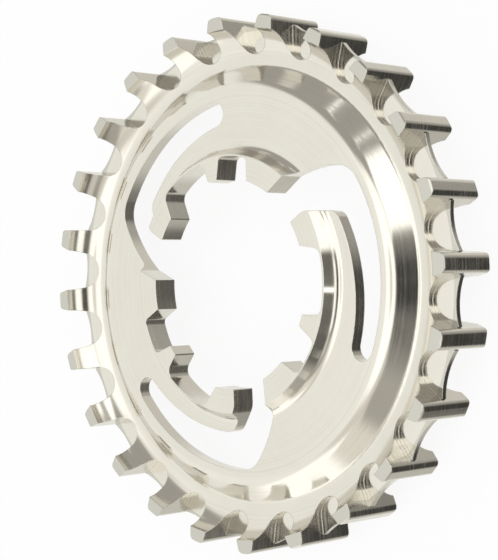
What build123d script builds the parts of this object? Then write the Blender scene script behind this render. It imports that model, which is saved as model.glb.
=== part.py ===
from build123d import *
import math
import os

os.makedirs("parts", exist_ok=True)

# Frame: +Z is the front (outboard) face normal. The origin is on the bore axis at the rear
# tooth ends. A tooth centre lies on +X. Angles run counter-clockwise as seen from the front.
# The pairs below are plane points, each a radius in mm and an angle in degrees.

# Belt teeth: each gap is an arc that runs out into two straight flanks
TOOTH_COUNT = 24
TIP_R = 41.3
TOOTH_WIDTH = 10.6
TIP_HALF_W = 1.5
TIP_CORNER_R = 1.0
GAP_R = 3.05
GAP_CENTRE_DROP = 2.75
TIP_FACET = 2.1
SCOOP_RUN = 5.0
END_CHAMFER = 0.2

# Centre fin between the teeth
FIN_T = 0.85
FIN_DROP = 1.7
FIN_FLANK_RISE = 0.6
FIN_ROOT_OVERLAP = 1.0

# Toothed ring, cone and web, from the scoops inwards
RING_T = 2.4
RING_FLAT = 0.4
CONE_RUN = 3.25
CONE_TOP_ROUND_R = 3.0
CONE_FOOT_ROUND_R = 1.0
WEB_FRONT_Z = 9.05
WEB_T = 2.0
REAR_RING_LEDGE = 1.7
REAR_CONE_RUN = 3.2

# Spline boss
BOSS_FRONT_Z = 11.2
BOSS_R = 19.85
BOSS_SLOPE_DEG = 62.0
BOSS_COVE_R = 1.5

# Spline lugs of each arm: start and end angles, on the tip circle and on the root circle
ARM_COUNT = 3
LUG_TIP_R = 16.15
LUG_ROOT_R = 19.6
LUG_1 = (53.7, 70.4)
LUG_2 = (93.4, 99.9)
LUG_3 = (136.3, 150.4)
LUG_1_ROOT_DEG = 73.4
LUG_2_ROOT = (90.6, 101.8)
LUG_3_ROOT_DEG = 131.1
NARROW_ROOT_R = 0.9
WIDE_ROOT_R = 1.5
LUG_CORNER_R = 0.2

# Free end of each arm
END_KNEE = (19.1, 150.1)
END_KNEE_R = 3.0
ARM_TIP = (23.0, 143.8)
ARM_TIP_R = 1.9

# Spiral slot that frees each arm
ARM_MID = (23.95, 116.0)
ARM_START = (24.85, 95.9)
SLOT_OUT_R = 28.75
SLOT_OUT_MID_DEG = 122.0
SLOT_CORNER_DEG = 152.2
SLOT_CORNER_R = 4.5
SLOT_WALL_MID = (23.8, 162.2)
SLOT_WALL_FOOT = (19.9, 169.6)

# Derived levels and steps
MID_Z = TOOTH_WIDTH / 2
RING_FRONT_Z = MID_Z + RING_T / 2
RING_REAR_Z = MID_Z - RING_T / 2
WEB_REAR_Z = WEB_FRONT_Z - WEB_T
FACET_R = TIP_R - TIP_FACET
SCOOP_START_R = FACET_R - SCOOP_RUN
RING_IN_R = SCOOP_START_R - RING_FLAT
CONE_TOP_R = RING_IN_R - CONE_RUN
REAR_CONE_OUT_R = RING_IN_R - REAR_RING_LEDGE
REAR_CONE_IN_R = REAR_CONE_OUT_R - REAR_CONE_RUN
BOSS_RISE = BOSS_FRONT_Z - WEB_FRONT_Z
BOSS_FOOT_R = BOSS_R + BOSS_RISE / math.tan(math.radians(BOSS_SLOPE_DEG))
PITCH_DEG = 360 / TOOTH_COUNT
ARM_DEG = 360 / ARM_COUNT
GAP_CENTRE_R = TIP_R - GAP_CENTRE_DROP
CUT_MARGIN = 6.0


def polar(radius, degrees):
    """Returns the plane point at a radius and an angle."""
    a = math.radians(degrees)
    return (radius * math.cos(a), radius * math.sin(a))


def flip(point):
    """Mirrors a plane point in the X axis."""
    return (point[0], -point[1])


def corner(sketch, x, y):
    """Picks the outline vertex nearest to a plane point."""
    return sketch.vertices().sort_by_distance((x, y, 0))[0]


def blank_section():
    """Draws the half section of the blank: boss, web, cone, ring and scooped rim."""
    start = (0, WEB_REAR_Z)
    Polyline(
        start,
        (0, BOSS_FRONT_Z),
        (BOSS_R, BOSS_FRONT_Z),
        (BOSS_FOOT_R, WEB_FRONT_Z),
        (CONE_TOP_R, WEB_FRONT_Z),
        (RING_IN_R, RING_FRONT_Z),
        (SCOOP_START_R, RING_FRONT_Z),
    )
    TangentArc((SCOOP_START_R, RING_FRONT_Z), (FACET_R, TOOTH_WIDTH), tangent=(1, 0))
    Polyline((FACET_R, TOOTH_WIDTH), (TIP_R, TOOTH_WIDTH), (TIP_R, 0), (FACET_R, 0))
    TangentArc((SCOOP_START_R, RING_REAR_Z), (FACET_R, 0), tangent=(1, 0))
    Polyline(
        (SCOOP_START_R, RING_REAR_Z),
        (REAR_CONE_OUT_R, RING_REAR_Z),
        (REAR_CONE_IN_R, WEB_REAR_Z),
        start,
    )


def body_blank():
    """Turns the blank that the gaps, the bore and the slots are cut from."""
    with BuildPart() as part:
        with BuildSketch(Plane.XZ) as section:
            with BuildLine():
                blank_section()
            make_face()
            fillet(corner(section, BOSS_FOOT_R, WEB_FRONT_Z), BOSS_COVE_R)
            fillet(corner(section, CONE_TOP_R, WEB_FRONT_Z), CONE_TOP_ROUND_R)
            fillet(corner(section, RING_IN_R, RING_FRONT_Z), CONE_FOOT_ROUND_R)
            chamfer(section.vertices().group_by(Axis.X)[-1], END_CHAMFER)
        revolve(axis=Axis.Z)
    return part.part


def flank_points():
    """Returns the tip corner arc's end, middle and start, and the gap arc's end."""
    half = math.radians(PITCH_DEG / 2)
    side = TIP_HALF_W - TIP_CORNER_R
    along = math.sqrt((TIP_R - TIP_CORNER_R) ** 2 - side**2)
    cx = along * math.cos(half) + side * math.sin(half)
    cy = along * math.sin(half) - side * math.cos(half)
    dx = cx - GAP_CENTRE_R
    lean = math.atan2(cy, dx) + math.acos((GAP_R + TIP_CORNER_R) / math.hypot(dx, cy))
    out = math.atan2(cy, cx)
    bend = (lean + math.pi + out) / 2 - math.pi
    far = (TIP_R * math.cos(out), TIP_R * math.sin(out))
    middle = (cx + TIP_CORNER_R * math.cos(bend), cy + TIP_CORNER_R * math.sin(bend))
    near = (cx - TIP_CORNER_R * math.cos(lean), cy - TIP_CORNER_R * math.sin(lean))
    low = (GAP_CENTRE_R + GAP_R * math.cos(lean), GAP_R * math.sin(lean))
    return far, middle, near, low


def gap_outline():
    """Draws one tooth gap centred on +X, closed beyond the tooth tips."""
    far, middle, near, low = flank_points()
    outer = TIP_R + CUT_MARGIN
    ThreePointArc(far, middle, near)
    Line(near, low)
    ThreePointArc(low, (GAP_CENTRE_R - GAP_R, 0), flip(low))
    Line(flip(low), flip(near))
    ThreePointArc(flip(near), flip(middle), flip(far))
    Polyline(flip(far), (outer, -far[1]), (outer, far[1]), far)


def fin_outline():
    """Draws the fin across one gap: hollow outer edge, ends inside the teeth."""
    low_r = GAP_CENTRE_R - GAP_R - FIN_ROOT_OVERLAP
    half_w = GAP_R + FIN_FLANK_RISE
    flank_x = TIP_R - FIN_DROP + FIN_FLANK_RISE
    ThreePointArc((flank_x, -half_w), (TIP_R - FIN_DROP, 0), (flank_x, half_w))
    Polyline((flank_x, half_w), (low_r, half_w), (low_r, -half_w), (flank_x, -half_w))


def gap_cutter():
    """Makes the tool for one gap, which leaves the fin between its two halves."""
    with BuildPart() as tool:
        with BuildSketch(Plane.XY.offset(MID_Z)):
            with BuildLine():
                gap_outline()
            make_face()
        extrude(amount=MID_Z + CUT_MARGIN, both=True)
        with BuildSketch(Plane.XY.offset(MID_Z - FIN_T / 2)):
            with BuildLine():
                fin_outline()
            make_face()
        extrude(amount=FIN_T, mode=Mode.SUBTRACT)
    return tool.part


def circle_arc(radius, start_deg, end_deg):
    """Draws an arc around the bore axis."""
    mid_deg = (start_deg + end_deg) / 2
    ThreePointArc(polar(radius, start_deg), polar(radius, mid_deg), polar(radius, end_deg))


def lug_side(tip_deg, root_deg):
    """Draws one flank between the lug tip circle and the lug root circle."""
    Line(polar(LUG_TIP_R, tip_deg), polar(LUG_ROOT_R, root_deg))


def opening_outline():
    """Draws one third of the opening: a bore sector, its spline gaps and one slot."""
    end_mid = (SLOT_OUT_R + ARM_START[0]) / 2
    end_deg = ARM_START[1] - math.degrees((SLOT_OUT_R - ARM_START[0]) / 2 / end_mid)
    last_tip = polar(LUG_TIP_R, LUG_1[0] + ARM_DEG)
    Line((0, 0), polar(LUG_TIP_R, LUG_1[0]))
    circle_arc(LUG_TIP_R, *LUG_1)
    lug_side(LUG_1[1], LUG_1_ROOT_DEG)
    circle_arc(LUG_ROOT_R, LUG_1_ROOT_DEG, LUG_2_ROOT[0])
    lug_side(LUG_2[0], LUG_2_ROOT[0])
    circle_arc(LUG_TIP_R, *LUG_2)
    lug_side(LUG_2[1], LUG_2_ROOT[1])
    circle_arc(LUG_ROOT_R, LUG_2_ROOT[1], LUG_3_ROOT_DEG)
    lug_side(LUG_3[0], LUG_3_ROOT_DEG)
    circle_arc(LUG_TIP_R, *LUG_3)
    Polyline(polar(LUG_TIP_R, LUG_3[1]), polar(*END_KNEE), polar(*ARM_TIP))
    ThreePointArc(polar(*ARM_TIP), polar(*ARM_MID), polar(*ARM_START))
    ThreePointArc(
        polar(*ARM_START), polar(end_mid, end_deg), polar(SLOT_OUT_R, ARM_START[1])
    )
    ThreePointArc(
        polar(SLOT_OUT_R, ARM_START[1]),
        polar(SLOT_OUT_R, SLOT_OUT_MID_DEG),
        polar(SLOT_OUT_R, SLOT_CORNER_DEG),
    )
    ThreePointArc(
        polar(SLOT_OUT_R, SLOT_CORNER_DEG), polar(*SLOT_WALL_MID), polar(*SLOT_WALL_FOOT)
    )
    Polyline(polar(*SLOT_WALL_FOOT), last_tip, (0, 0))


def opening_face():
    """Rounds the corners of one third of the opening."""
    roundings = (
        (SLOT_OUT_R, SLOT_CORNER_DEG, SLOT_CORNER_R),
        (*ARM_TIP, ARM_TIP_R),
        (*END_KNEE, END_KNEE_R),
        (LUG_ROOT_R, LUG_1_ROOT_DEG, NARROW_ROOT_R),
        (LUG_ROOT_R, LUG_2_ROOT[0], NARROW_ROOT_R),
        (LUG_ROOT_R, LUG_2_ROOT[1], WIDE_ROOT_R),
        (LUG_ROOT_R, LUG_3_ROOT_DEG, WIDE_ROOT_R),
        (LUG_TIP_R, LUG_1[1], LUG_CORNER_R),
        (LUG_TIP_R, LUG_2[0], LUG_CORNER_R),
        (LUG_TIP_R, LUG_2[1], LUG_CORNER_R),
        (LUG_TIP_R, LUG_3[0], LUG_CORNER_R),
        (LUG_TIP_R, LUG_3[1], LUG_CORNER_R),
    )
    with BuildSketch() as face:
        with BuildLine():
            opening_outline()
        make_face()
        for radius, degrees, rounding in roundings:
            fillet(corner(face, *polar(radius, degrees)), rounding)
    return face.sketch


def sprocket():
    """Cuts the tooth gaps, the splined bore and the slots from the turned blank."""
    with BuildPart() as part:
        add(body_blank())
        with BuildSketch():
            with PolarLocations(0, ARM_COUNT):
                add(opening_face())
        extrude(amount=BOSS_FRONT_Z + CUT_MARGIN, mode=Mode.SUBTRACT)
        with PolarLocations(0, TOOTH_COUNT, start_angle=PITCH_DEG / 2):
            add(gap_cutter(), mode=Mode.SUBTRACT)
    return part.part


body = sprocket()
body.label = "sprocket"
export_step(body, "parts/sprocket.step")
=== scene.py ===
"""Sets up the belt drive sprocket on a pale floor, seen from the photograph's side."""

import logging
import math
from collections.abc import Iterable
from dataclasses import dataclass

import bpy
from mathutils import Matrix, Vector

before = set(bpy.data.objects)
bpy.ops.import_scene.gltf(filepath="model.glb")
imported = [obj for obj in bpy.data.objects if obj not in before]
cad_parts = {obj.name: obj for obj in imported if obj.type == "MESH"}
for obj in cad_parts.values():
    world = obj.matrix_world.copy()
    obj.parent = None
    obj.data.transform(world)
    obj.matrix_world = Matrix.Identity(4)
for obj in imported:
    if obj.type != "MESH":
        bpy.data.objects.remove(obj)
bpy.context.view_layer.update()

MM = 0.001
IMAGE_H = 560
ALL_ROUND = 400

log = logging.getLogger("sprocket_scene")


def linear(hex_colour: str, level: float = 1.0) -> tuple[float, float, float, float]:
    """Turns an sRGB hex value into a linear colour.

    Args:
        hex_colour: six hex digits with a leading #.
        level: what the colour's light is multiplied by.

    Returns:
        Linear red, green, blue and an alpha of 1.
    """
    channels = []
    for start in (1, 3, 5):
        value = int(hex_colour[start : start + 2], 16) / 255
        low = value / 12.92
        high = ((value + 0.055) / 1.055) ** 2.4
        channels.append((low if value <= 0.04045 else high) * level)
    return (channels[0], channels[1], channels[2], 1.0)


def add_node(
    tree: bpy.types.NodeTree,
    kind: str,
    settings: dict[str, object] | None = None,
    inputs: dict[str | int, object] | tuple[object, ...] = (),
) -> bpy.types.Node:
    """Adds one shader node.

    A Mix node repeats the names of its sockets, so they are given by place: 0 is the
    share, 2 and 3 the numbers, 4 and 5 the vectors, and 6 and 7 the colours, and its
    outputs 0, 1 and 2 are the number, the vector and the colour.

    Args:
        tree: the node tree that gets the node.
        kind: the node's Blender type name.
        settings: attribute names and values of the node itself.
        inputs: values or output sockets to link from, by socket name or place, or as a
            tuple in the order of the node's own sockets.

    Returns:
        The new node.
    """
    node = tree.nodes.new(kind)
    for name, value in (settings or {}).items():
        setattr(node, name, value)
    sources = inputs if isinstance(inputs, dict) else dict(enumerate(inputs))
    for name, value in sources.items():
        socket = node.inputs[name]
        if isinstance(value, bpy.types.NodeSocket):
            tree.links.new(value, socket)
        else:
            socket.default_value = value
    return node


def clear_tree(owner: bpy.types.Material | bpy.types.World) -> bpy.types.NodeTree:
    """Empties a material's or world's node tree.

    Args:
        owner: the material or the world.

    Returns:
        Its empty node tree.
    """
    owner.use_nodes = True
    owner.node_tree.nodes.clear()
    return owner.node_tree


@dataclass(frozen=True)
class TurnedProfile:
    """The lathe's profile of the front, in millimetres from the bore axis.

    The flat facets of a small rounding shade a little unevenly, so the steel takes the
    slope of the turned front from this profile instead. It is used from level_margin
    behind the front of the ring, out to the chamfer of the tooth ends, and sharp is the
    width over which a sharp bend turns.
    """

    boss_edge: float = 19.85
    boss_rise: float = 2.15
    boss_slope_deg: float = 62.0
    boss_cove: float = 1.5
    cone_top: float = 30.55
    cone_run: float = 3.25
    cone_drop: float = 2.55
    cone_top_round: float = 3.0
    cone_foot_round: float = 1.0
    ring_flat: float = 0.4
    scoop_run: float = 5.0
    scoop_rise: float = 4.1
    ring_front: float = 6.5
    level_margin: float = 0.1
    tip_chamfer: float = 41.05
    sharp: float = 0.02

    def bends(self) -> list[tuple[float, float, float]]:
        """Lists where the front's slope changes.

        Returns:
            For each bend its inner and outer radius, and how much the outward part of
            the surface normal changes between them.
        """
        slope = math.radians(self.boss_slope_deg)
        foot = self.boss_edge + self.boss_rise / math.tan(slope)
        cove_end = foot + self.boss_cove * math.tan(slope / 2)
        cove_start = cove_end - self.boss_cove * math.sin(slope)
        cone = math.atan2(self.cone_drop, self.cone_run)
        top_start = self.cone_top - self.cone_top_round * math.tan(cone / 2)
        top_end = top_start + self.cone_top_round * math.sin(cone)
        cone_foot = self.cone_top + self.cone_run
        foot_end = cone_foot + self.cone_foot_round * math.tan(cone / 2)
        foot_start = foot_end - self.cone_foot_round * math.sin(cone)
        scoop_start = cone_foot + self.ring_flat
        scoop_end = scoop_start + self.scoop_run
        scoop_r = (self.scoop_run**2 + self.scoop_rise**2) / (2 * self.scoop_rise)
        scoop = self.scoop_run / scoop_r
        return [
            (self.boss_edge, self.boss_edge + self.sharp, math.sin(slope)),
            (cove_start, cove_end, -math.sin(slope)),
            (top_start, top_end, math.sin(cone)),
            (foot_start, foot_end, -math.sin(cone)),
            (scoop_start, scoop_end, -scoop),
            (scoop_end, scoop_end + self.sharp, scoop),
        ]


@dataclass(frozen=True)
class SteelSpot:
    """Where a shaded point lies on the sprocket, as outputs of the steel's nodes.

    place is its position in millimetres, spoke the unit vector out from the bore axis,
    radius the distance from that axis, level the height over the rear tooth ends, upward
    the upward part of the surface normal, and wall goes from 0 on a face to 1 on a wall.
    """

    place: bpy.types.NodeSocket
    spoke: bpy.types.NodeSocket
    radius: bpy.types.NodeSocket
    level: bpy.types.NodeSocket
    upward: bpy.types.NodeSocket
    wall: bpy.types.NodeSocket


@dataclass(frozen=True)
class MachinedStainless:
    """Stainless steel bar, turned on its faces and milled along its walls.

    A bright metal that mirrors the studio. Fine rings from the lathe smear the
    reflections in and out from the bore, and fine lines from the cutter, level with
    the faces, smear those in the walls up and down. Where clouds of wear cross the
    lines, the metal is duller and its reflections spread further. The cut tooth ends
    are a little duller too, and the broken edges catch thin lines of light. Sizes are
    in millimetres. Both line spacings are drawn about twice as coarse as the real
    ones, so that they show in the picture.
    """

    name: str = "machined_stainless_steel"
    clean_colour: str = "#DEDBD3"
    satin_colour: str = "#D8D4CB"
    tooth_end_colour: str = "#C6C4BC"
    face_roughness: tuple[float, float] = (0.09, 0.18)
    wall_roughness: tuple[float, float] = (0.07, 0.36)
    smear: float = 0.7
    lathe_line: float = 0.40
    cutter_line: float = 0.42
    line_detail: float = 2.0
    line_grain: float = 0.6
    line_depth: float = 0.010
    lathe_share: float = 0.14
    cloud_size: float = 5.0
    cloud_detail: float = 5.0
    cloud_grain: float = 0.65
    worn_range: tuple[float, float] = (0.1, 0.5)
    edge_break: float = 0.18
    edge_samples: int = 4
    wall_tilt: tuple[float, float] = (0.06, 0.12)
    tooth_end: tuple[float, float] = (39.1, 39.3)
    front: TurnedProfile = TurnedProfile()

    def build(self) -> bpy.types.Material:
        """Makes the material.

        Returns:
            The finished material.
        """
        material = bpy.data.materials.new(self.name)
        tree = clear_tree(material)
        spot = self.find_spot(tree)
        lines = self.tool_lines(tree, spot)
        cloud = add_node(
            tree,
            "ShaderNodeTexNoise",
            inputs={
                "Vector": spot.place,
                "Scale": 1 / self.cloud_size,
                "Detail": self.cloud_detail,
                "Roughness": self.cloud_grain,
            },
        )
        both = add_node(
            tree, "ShaderNodeMath", {"operation": "MULTIPLY"}, (cloud.outputs[0], lines)
        )
        worn = add_node(
            tree, "ShaderNodeMapRange", inputs=(both.outputs[0], *self.worn_range)
        ).outputs[0]
        smear_way = add_node(
            tree,
            "ShaderNodeMix",
            {"data_type": "VECTOR"},
            {0: spot.wall, 4: spot.spoke, 5: (0.0, 0.0, 1.0)},
        )
        steel = add_node(
            tree,
            "ShaderNodeBsdfPrincipled",
            inputs={
                "Base Color": self.tone(tree, spot, worn),
                "Metallic": 1.0,
                "Roughness": self.satin(tree, spot, worn),
                "Anisotropic": self.smear,
                "Normal": self.relief(tree, spot, lines),
                "Tangent": smear_way.outputs[1],
            },
        )
        add_node(tree, "ShaderNodeOutputMaterial", inputs=(steel.outputs[0],))
        return material

    def find_spot(self, tree: bpy.types.NodeTree) -> SteelSpot:
        """Works out where on the sprocket a point lies.

        Args:
            tree: the material's node tree.

        Returns:
            The point's place.
        """
        coords = add_node(tree, "ShaderNodeTexCoord")
        place = add_node(
            tree,
            "ShaderNodeVectorMath",
            {"operation": "SCALE"},
            {0: coords.outputs["Object"], "Scale": 1 / MM},
        )
        axes = add_node(tree, "ShaderNodeSeparateXYZ", inputs=(place.outputs[0],))
        across = add_node(tree, "ShaderNodeCombineXYZ", inputs=(axes.outputs[0], axes.outputs[1]))
        length = add_node(
            tree, "ShaderNodeVectorMath", {"operation": "LENGTH"}, (across.outputs[0],)
        )
        spoke = add_node(
            tree, "ShaderNodeVectorMath", {"operation": "NORMALIZE"}, (across.outputs[0],)
        )
        facing = add_node(tree, "ShaderNodeSeparateXYZ", inputs=(coords.outputs["Normal"],))
        tilt = add_node(
            tree, "ShaderNodeMath", {"operation": "ABSOLUTE"}, (facing.outputs["Z"],)
        )
        wall = add_node(
            tree, "ShaderNodeMapRange", inputs=(tilt.outputs[0], *self.wall_tilt, 1.0, 0.0)
        )
        return SteelSpot(
            place=place.outputs[0],
            spoke=spoke.outputs[0],
            radius=length.outputs["Value"],
            level=axes.outputs["Z"],
            upward=facing.outputs["Z"],
            wall=wall.outputs[0],
        )

    def tool_lines(self, tree: bpy.types.NodeTree, spot: SteelSpot) -> bpy.types.NodeSocket:
        """Draws lathe rings on the faces and cutter lines along the walls.

        Args:
            tree: the material's node tree.
            spot: where the shaded point lies.

        Returns:
            The lines' height, from 0 to 1.
        """
        rings, cuts = (
            add_node(
                tree,
                "ShaderNodeTexNoise",
                {"noise_dimensions": "1D"},
                {
                    "W": distance,
                    "Scale": 1 / spacing,
                    "Detail": self.line_detail,
                    "Roughness": self.line_grain,
                },
            )
            for distance, spacing in (
                (spot.radius, self.lathe_line),
                (spot.level, self.cutter_line),
            )
        )
        lines = add_node(
            tree,
            "ShaderNodeMix",
            inputs={0: spot.wall, 2: rings.outputs[0], 3: cuts.outputs[0]},
        )
        return lines.outputs[0]

    def tone(
        self, tree: bpy.types.NodeTree, spot: SteelSpot, worn: bpy.types.NodeSocket
    ) -> bpy.types.NodeSocket:
        """Colours the metal, a little duller where it is worn and on the cut tooth ends.

        Args:
            tree: the material's node tree.
            spot: where the shaded point lies.
            worn: how dull the metal is, from 0 to 1.

        Returns:
            The colour.
        """
        metal = add_node(
            tree,
            "ShaderNodeMix",
            {"data_type": "RGBA"},
            {0: worn, 6: linear(self.clean_colour), 7: linear(self.satin_colour)},
        )
        past_scoop = add_node(
            tree, "ShaderNodeMapRange", inputs=(spot.radius, *self.tooth_end, 0.0, 1.0)
        )
        off_wall = add_node(
            tree, "ShaderNodeMath", {"operation": "SUBTRACT"}, (past_scoop.outputs[0], spot.wall)
        )
        cut_end = add_node(
            tree, "ShaderNodeMath", {"operation": "MAXIMUM"}, (off_wall.outputs[0], 0.0)
        )
        colour = add_node(
            tree,
            "ShaderNodeMix",
            {"data_type": "RGBA"},
            {0: cut_end.outputs[0], 6: metal.outputs[2], 7: linear(self.tooth_end_colour)},
        )
        return colour.outputs[2]

    def satin(
        self, tree: bpy.types.NodeTree, spot: SteelSpot, worn: bpy.types.NodeSocket
    ) -> bpy.types.NodeSocket:
        """Spreads the reflections, more where the metal is dull.

        Args:
            tree: the material's node tree.
            spot: where the shaded point lies.
            worn: how dull the metal is, from 0 to 1.

        Returns:
            The roughness.
        """
        low, high = (
            add_node(tree, "ShaderNodeMapRange", inputs=(spot.wall, 0.0, 1.0, face, wall))
            for face, wall in zip(self.face_roughness, self.wall_roughness)
        )
        roughness = add_node(
            tree, "ShaderNodeMapRange", inputs=(worn, 0.0, 1.0, low.outputs[0], high.outputs[0])
        )
        return roughness.outputs[0]

    def relief(
        self, tree: bpy.types.NodeTree, spot: SteelSpot, lines: bpy.types.NodeSocket
    ) -> bpy.types.NodeSocket:
        """Cuts the tool lines into the surface, less deep on the turned faces.

        Args:
            tree: the material's node tree.
            spot: where the shaded point lies.
            lines: the tool lines' height.

        Returns:
            The normal.
        """
        share = add_node(
            tree, "ShaderNodeMapRange", inputs=(spot.wall, 0.0, 1.0, self.lathe_share, 1.0)
        )
        height = add_node(
            tree, "ShaderNodeMath", {"operation": "MULTIPLY"}, (lines, share.outputs[0])
        )
        cut = add_node(
            tree,
            "ShaderNodeBump",
            inputs={
                "Strength": 1.0,
                "Distance": self.line_depth * MM,
                "Height": height.outputs[0],
                "Normal": self.edge_normal(tree, spot),
            },
        )
        return cut.outputs[0]

    def edge_normal(self, tree: bpy.types.NodeTree, spot: SteelSpot) -> bpy.types.NodeSocket:
        """Breaks the edges and smooths the turned front.

        Args:
            tree: the material's node tree.
            spot: where the shaded point lies.

        Returns:
            The normal.
        """
        edges = add_node(
            tree,
            "ShaderNodeBevel",
            {"samples": self.edge_samples},
            {"Radius": self.edge_break * MM},
        )
        shape = add_node(tree, "ShaderNodeNewGeometry")
        offset = add_node(
            tree,
            "ShaderNodeVectorMath",
            {"operation": "SUBTRACT"},
            (self.turned_normal(tree, spot), shape.outputs["Normal"]),
        )
        turned = add_node(
            tree, "ShaderNodeMapRange", inputs=(spot.upward, *self.wall_tilt, 0.0, 1.0)
        ).outputs[0]
        front_level = self.front.ring_front - self.front.level_margin
        for side, distance, limit in (
            ("GREATER_THAN", spot.level, front_level),
            ("LESS_THAN", spot.radius, self.front.tip_chamfer),
        ):
            inside = add_node(tree, "ShaderNodeMath", {"operation": side}, (distance, limit))
            turned = add_node(
                tree, "ShaderNodeMath", {"operation": "MULTIPLY"}, (turned, inside.outputs[0])
            ).outputs[0]
        part = add_node(
            tree,
            "ShaderNodeVectorMath",
            {"operation": "SCALE"},
            {0: offset.outputs[0], "Scale": turned},
        )
        both = add_node(
            tree, "ShaderNodeVectorMath", {"operation": "ADD"}, (edges.outputs[0], part.outputs[0])
        )
        unit = add_node(
            tree, "ShaderNodeVectorMath", {"operation": "NORMALIZE"}, (both.outputs[0],)
        )
        return unit.outputs[0]

    def turned_normal(self, tree: bpy.types.NodeTree, spot: SteelSpot) -> bpy.types.NodeSocket:
        """Works out the normal of the turned front.

        Args:
            tree: the material's node tree.
            spot: where the shaded point lies.

        Returns:
            The normal's vector.
        """
        lean = 0.0
        for inner, outer, change in self.front.bends():
            bend = add_node(
                tree, "ShaderNodeMapRange", inputs=(spot.radius, inner, outer, 0.0, change)
            )
            lean = add_node(
                tree, "ShaderNodeMath", {"operation": "ADD"}, (bend.outputs[0], lean)
            ).outputs[0]
        squared = add_node(tree, "ShaderNodeMath", {"operation": "MULTIPLY"}, (lean, lean))
        rest = add_node(
            tree, "ShaderNodeMath", {"operation": "SUBTRACT"}, (1.0, squared.outputs[0])
        )
        rise = add_node(tree, "ShaderNodeMath", {"operation": "SQRT"}, (rest.outputs[0],))
        upright = add_node(tree, "ShaderNodeCombineXYZ", inputs={2: rise.outputs[0]})
        outward = add_node(
            tree, "ShaderNodeVectorMath", {"operation": "SCALE"}, {0: spot.spoke, "Scale": lean}
        )
        normal = add_node(
            tree,
            "ShaderNodeVectorMath",
            {"operation": "ADD"},
            (outward.outputs[0], upright.outputs[0]),
        )
        return normal.outputs[0]


@dataclass
class Sprocket:
    """The one-piece sprocket, which the CAD node shows as it is."""

    node: str = "sprocket"

    def dress(self) -> None:
        """Gives the CAD node its steel."""
        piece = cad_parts[self.node]
        steel = MachinedStainless().build()
        for slot in piece.material_slots:
            slot.material = steel
        log.info("dressed %s", self.node)


@dataclass(frozen=True)
class Panel:
    """One softbox or card of the studio, as the steel sees it.

    Angles are in degrees. Azimuth runs from +X towards +Y and elevation up from the floor.
    soft_side is how far its left and right sides fade, soft_edge how far its top and
    bottom do, and level its light. A half_width of ALL_ROUND takes it all the way round.
    """

    name: str
    azimuth: float
    half_width: float
    elevation: float
    half_height: float
    soft_side: float
    soft_edge: float
    level: float


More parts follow.
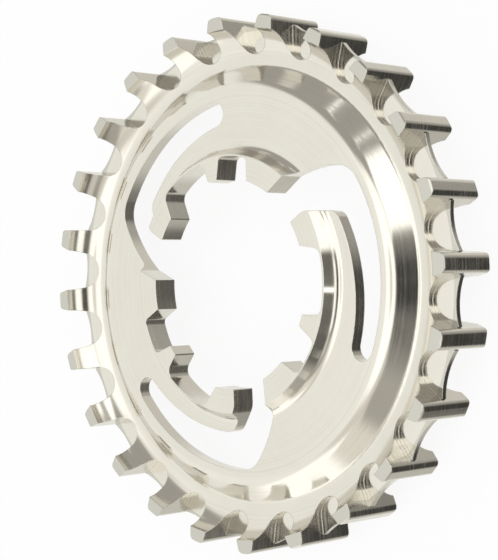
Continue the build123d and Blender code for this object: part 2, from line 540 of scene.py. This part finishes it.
@dataclass
class StudioAir:
    """The softboxes and cards round the object, all in the world's shader.

    The softboxes give a neutral white, and the cards and walls are a little warm. Each
    panel hangs in front of those before it.
    """

    base_level: float = 0.95
    lamp_tint: str = "#FEFEFA"
    card_tint: str = "#FFFCF3"
    panels: tuple[Panel, ...] = (
        Panel("back_wall", 175, 50, 25, 35, 30, 24, 1.08),
        Panel("left_glow", -143, 20, 25, 24, 14, 14, 1.15),
        Panel("window_strip", -113, 18, 20, 28, 8, 10, 1.5),
        Panel("left_gap", -68, 26, 27, 36, 12, 10, 0.5),
        Panel("left_corner", -90, 10, 32, 20, 8, 10, 0.95),
        Panel("left_panel", -52, 10, 25, 12, 10, 10, 0.8),
        Panel("shoulder", 0, ALL_ROUND, 58, 5, 10, 6, 0.85),
        Panel("back_shoulder_low", 176, 36, 55, 6, 30, 8, 1.15),
        Panel("camera_side", -11, 37, 51, 12, 24, 10, 0.20),
        Panel("camera", -5, 15, 53, 8, 12, 8, 0.05),
        Panel("dark_front", -22, 44, -12, 28, 12, 14, 0.16),
        Panel("front_window", -13, 27, 29, 11, 8, 8, 1.5),
        Panel("under_key", 50, 14, 22, 12, 8, 10, 0.6),
        Panel("right_strip", 32, 12, 20, 23, 7, 8, 1.6),
        Panel("right_foot", 42, 10, 8, 11, 6, 5, 1.6),
        Panel("side_card", 95, 33, 30, 36, 10, 12, 0.45),
        Panel("side_slit_low", 112, 3, 15, 6, 3, 6, 0.8),
        Panel("side_slit_middle", 91.5, 1.0, 29, 8, 1.0, 6, 1.5),
        Panel("side_slit_high", 74, 1.0, 36, 8, 1.0, 6, 1.5),
        Panel("front_slit", -8.8, 1.6, 5, 12, 1.6, 6, 2.2),
        Panel("key_softbox", 46, 20, 48, 14, 6, 6, 1.7),
        Panel("back_shoulder", 178, 34, 66, 6, 30, 8, 1.55),
        Panel("overhead_softbox", 0, ALL_ROUND, 90, 24, 10, 8, 1.6),
        Panel("overhead_gap", 0, ALL_ROUND, 90, 7, 10, 5, 0.88),
        Panel("low_wall", 0, ALL_ROUND, -60, 42, 10, 10, 0.98),
        Panel("low_left_wall", -90, 26, -58, 18, 20, 14, 0.6),
        Panel("low_right_wall", 80, 40, -55, 34, 30, 20, 0.75),
        Panel("low_corner", 42, 22, -54, 20, 16, 12, 0.42),
        Panel("low_front", -20, 50, -44, 26, 26, 14, 0.25),
        Panel("low_flag", -22, 44, -60, 18, 24, 10, 0.05),
    )

    def hang(
        self,
        tree: bpy.types.NodeTree,
        panel: Panel,
        azimuth: bpy.types.NodeSocket,
        elevation: bpy.types.NodeSocket,
        behind: bpy.types.NodeSocket,
    ) -> bpy.types.NodeSocket:
        """Hangs one panel in front of what is there already.

        Args:
            tree: the world's node tree.
            panel: the softbox or card.
            azimuth: the view direction's azimuth in degrees.
            elevation: the view direction's elevation in degrees.
            behind: the colour behind the panel.

        Returns:
            The colour with the panel in it.
        """
        cover = 1.0
        for angle, middle, half, soft in (
            (azimuth, panel.azimuth, panel.half_width, panel.soft_side),
            (elevation, panel.elevation, panel.half_height, panel.soft_edge),
        ):
            off = add_node(tree, "ShaderNodeMath", {"operation": "SUBTRACT"}, (angle, middle))
            turn = add_node(
                tree, "ShaderNodeMath", {"operation": "WRAP"}, (off.outputs[0], 180.0, -180.0)
            )
            away = add_node(tree, "ShaderNodeMath", {"operation": "ABSOLUTE"}, (turn.outputs[0],))
            edge = add_node(
                tree,
                "ShaderNodeMapRange",
                {"interpolation_type": "SMOOTHSTEP"},
                (away.outputs[0], half - soft / 2, half + soft / 2, 1.0, 0.0),
            )
            cover = add_node(
                tree, "ShaderNodeMath", {"operation": "MULTIPLY"}, (edge.outputs[0], cover)
            ).outputs[0]
        tint = self.lamp_tint if panel.level > self.base_level else self.card_tint
        mix = add_node(
            tree,
            "ShaderNodeMix",
            {"data_type": "RGBA"},
            {0: cover, 6: behind, 7: linear(tint, panel.level)},
        )
        return mix.outputs[2]

    def build(self) -> None:
        """Makes the world."""
        world = bpy.data.worlds.new("studio_air")
        bpy.context.scene.world = world
        tree = clear_tree(world)
        place = add_node(tree, "ShaderNodeTexCoord")
        axes = add_node(tree, "ShaderNodeSeparateXYZ", inputs=(place.outputs["Generated"],))
        around = add_node(
            tree,
            "ShaderNodeMath",
            {"operation": "ARCTAN2"},
            (axes.outputs["Y"], axes.outputs["X"]),
        )
        up = add_node(tree, "ShaderNodeMath", {"operation": "ARCSINE"}, (axes.outputs["Z"],))
        azimuth, elevation = (
            add_node(tree, "ShaderNodeMath", {"operation": "DEGREES"}, (angle.outputs[0],))
            for angle in (around, up)
        )
        air = add_node(tree, "ShaderNodeRGB")
        air.outputs[0].default_value = linear(self.card_tint, self.base_level)
        colour = air.outputs[0]
        for panel in self.panels:
            colour = self.hang(tree, panel, azimuth.outputs[0], elevation.outputs[0], colour)
            log.info("hung %s", panel.name)
        glow = add_node(tree, "ShaderNodeBackground", inputs={"Color": colour})
        add_node(tree, "ShaderNodeOutputWorld", inputs={"Surface": glow.outputs[0]})


@dataclass(frozen=True)
class PaleFloor:
    """Matt white paper under the object.

    The camera sees white_share of it as pure white, and the rest carries the object's
    soft shadow. In the steel it gives way to the lower half of the studio, which is as
    white on the left.
    """

    name: str = "white_paper_floor"
    colour: str = "#F3F4F8"
    white: str = "#FFFFFF"
    white_share: float = 0.9
    side: float = 4.0

    def build(self) -> None:
        """Lays the floor under the tooth ends."""
        bpy.ops.mesh.primitive_plane_add(size=self.side, location=(0, 0, 0))
        floor = bpy.context.object
        floor.name = "floor"
        material = bpy.data.materials.new(self.name)
        tree = clear_tree(material)
        ray = add_node(tree, "ShaderNodeLightPath")
        seen = add_node(
            tree,
            "ShaderNodeMath",
            {"operation": "MAXIMUM"},
            (ray.outputs["Is Camera Ray"], ray.outputs["Is Transmission Ray"]),
        )
        share = add_node(
            tree,
            "ShaderNodeMath",
            {"operation": "MULTIPLY"},
            (seen.outputs[0], self.white_share),
        )
        paper = add_node(tree, "ShaderNodeBsdfDiffuse", inputs={"Color": linear(self.colour)})
        white = add_node(
            tree, "ShaderNodeEmission", inputs={"Color": linear(self.white), "Strength": 1.0}
        )
        sheet = add_node(
            tree,
            "ShaderNodeMixShader",
            inputs=(share.outputs[0], paper.outputs[0], white.outputs[0]),
        )
        clear = add_node(tree, "ShaderNodeBsdfTransparent")
        surface = add_node(
            tree,
            "ShaderNodeMixShader",
            inputs=(ray.outputs["Is Glossy Ray"], sheet.outputs[0], clear.outputs[0]),
        )
        add_node(tree, "ShaderNodeOutputMaterial", inputs={"Surface": surface.outputs[0]})
        floor.data.materials.append(material)
        log.info("laid %s", self.name)


@dataclass
class PhotoCamera:
    """The camera at the photograph's place.

    The focal length is in pixels of a picture 560 high.
    """

    place_mm: tuple[float, float, float] = (174.012, -10.286, 185.053)
    aim_mm: tuple[float, float, float] = (-0.931, 0.621, 5.3)
    roll_deg: float = 90.816
    focal_px: float = 1606.1
    sensor_mm: float = 36.0
    near_clip_m: float = 0.01

    def build(self) -> None:
        """Sets the camera up and makes it the scene's own."""
        data = bpy.data.cameras.new("photo_camera")
        data.sensor_width = self.sensor_mm
        data.lens = self.focal_px / IMAGE_H * self.sensor_mm
        data.clip_start = self.near_clip_m
        camera = bpy.data.objects.new("photo_camera", data)
        bpy.context.scene.collection.objects.link(camera)
        place = Vector(self.place_mm) * MM
        aim = Vector(self.aim_mm) * MM
        look = (aim - place).to_track_quat("-Z", "Y").to_matrix().to_4x4()
        roll = Matrix.Rotation(math.radians(-self.roll_deg), 4, "Z")
        camera.matrix_world = Matrix.Translation(place) @ look @ roll
        bpy.context.scene.camera = camera
        log.info("placed %s", data.name)


def main() -> None:
    """Dresses the sprocket and builds the studio."""
    logging.basicConfig(level=logging.INFO)
    Sprocket().dress()
    PaleFloor().build()
    StudioAir().build()
    PhotoCamera().build()
    bpy.context.scene.view_settings.view_transform = "Standard"


if __name__ == "__main__":
    main()
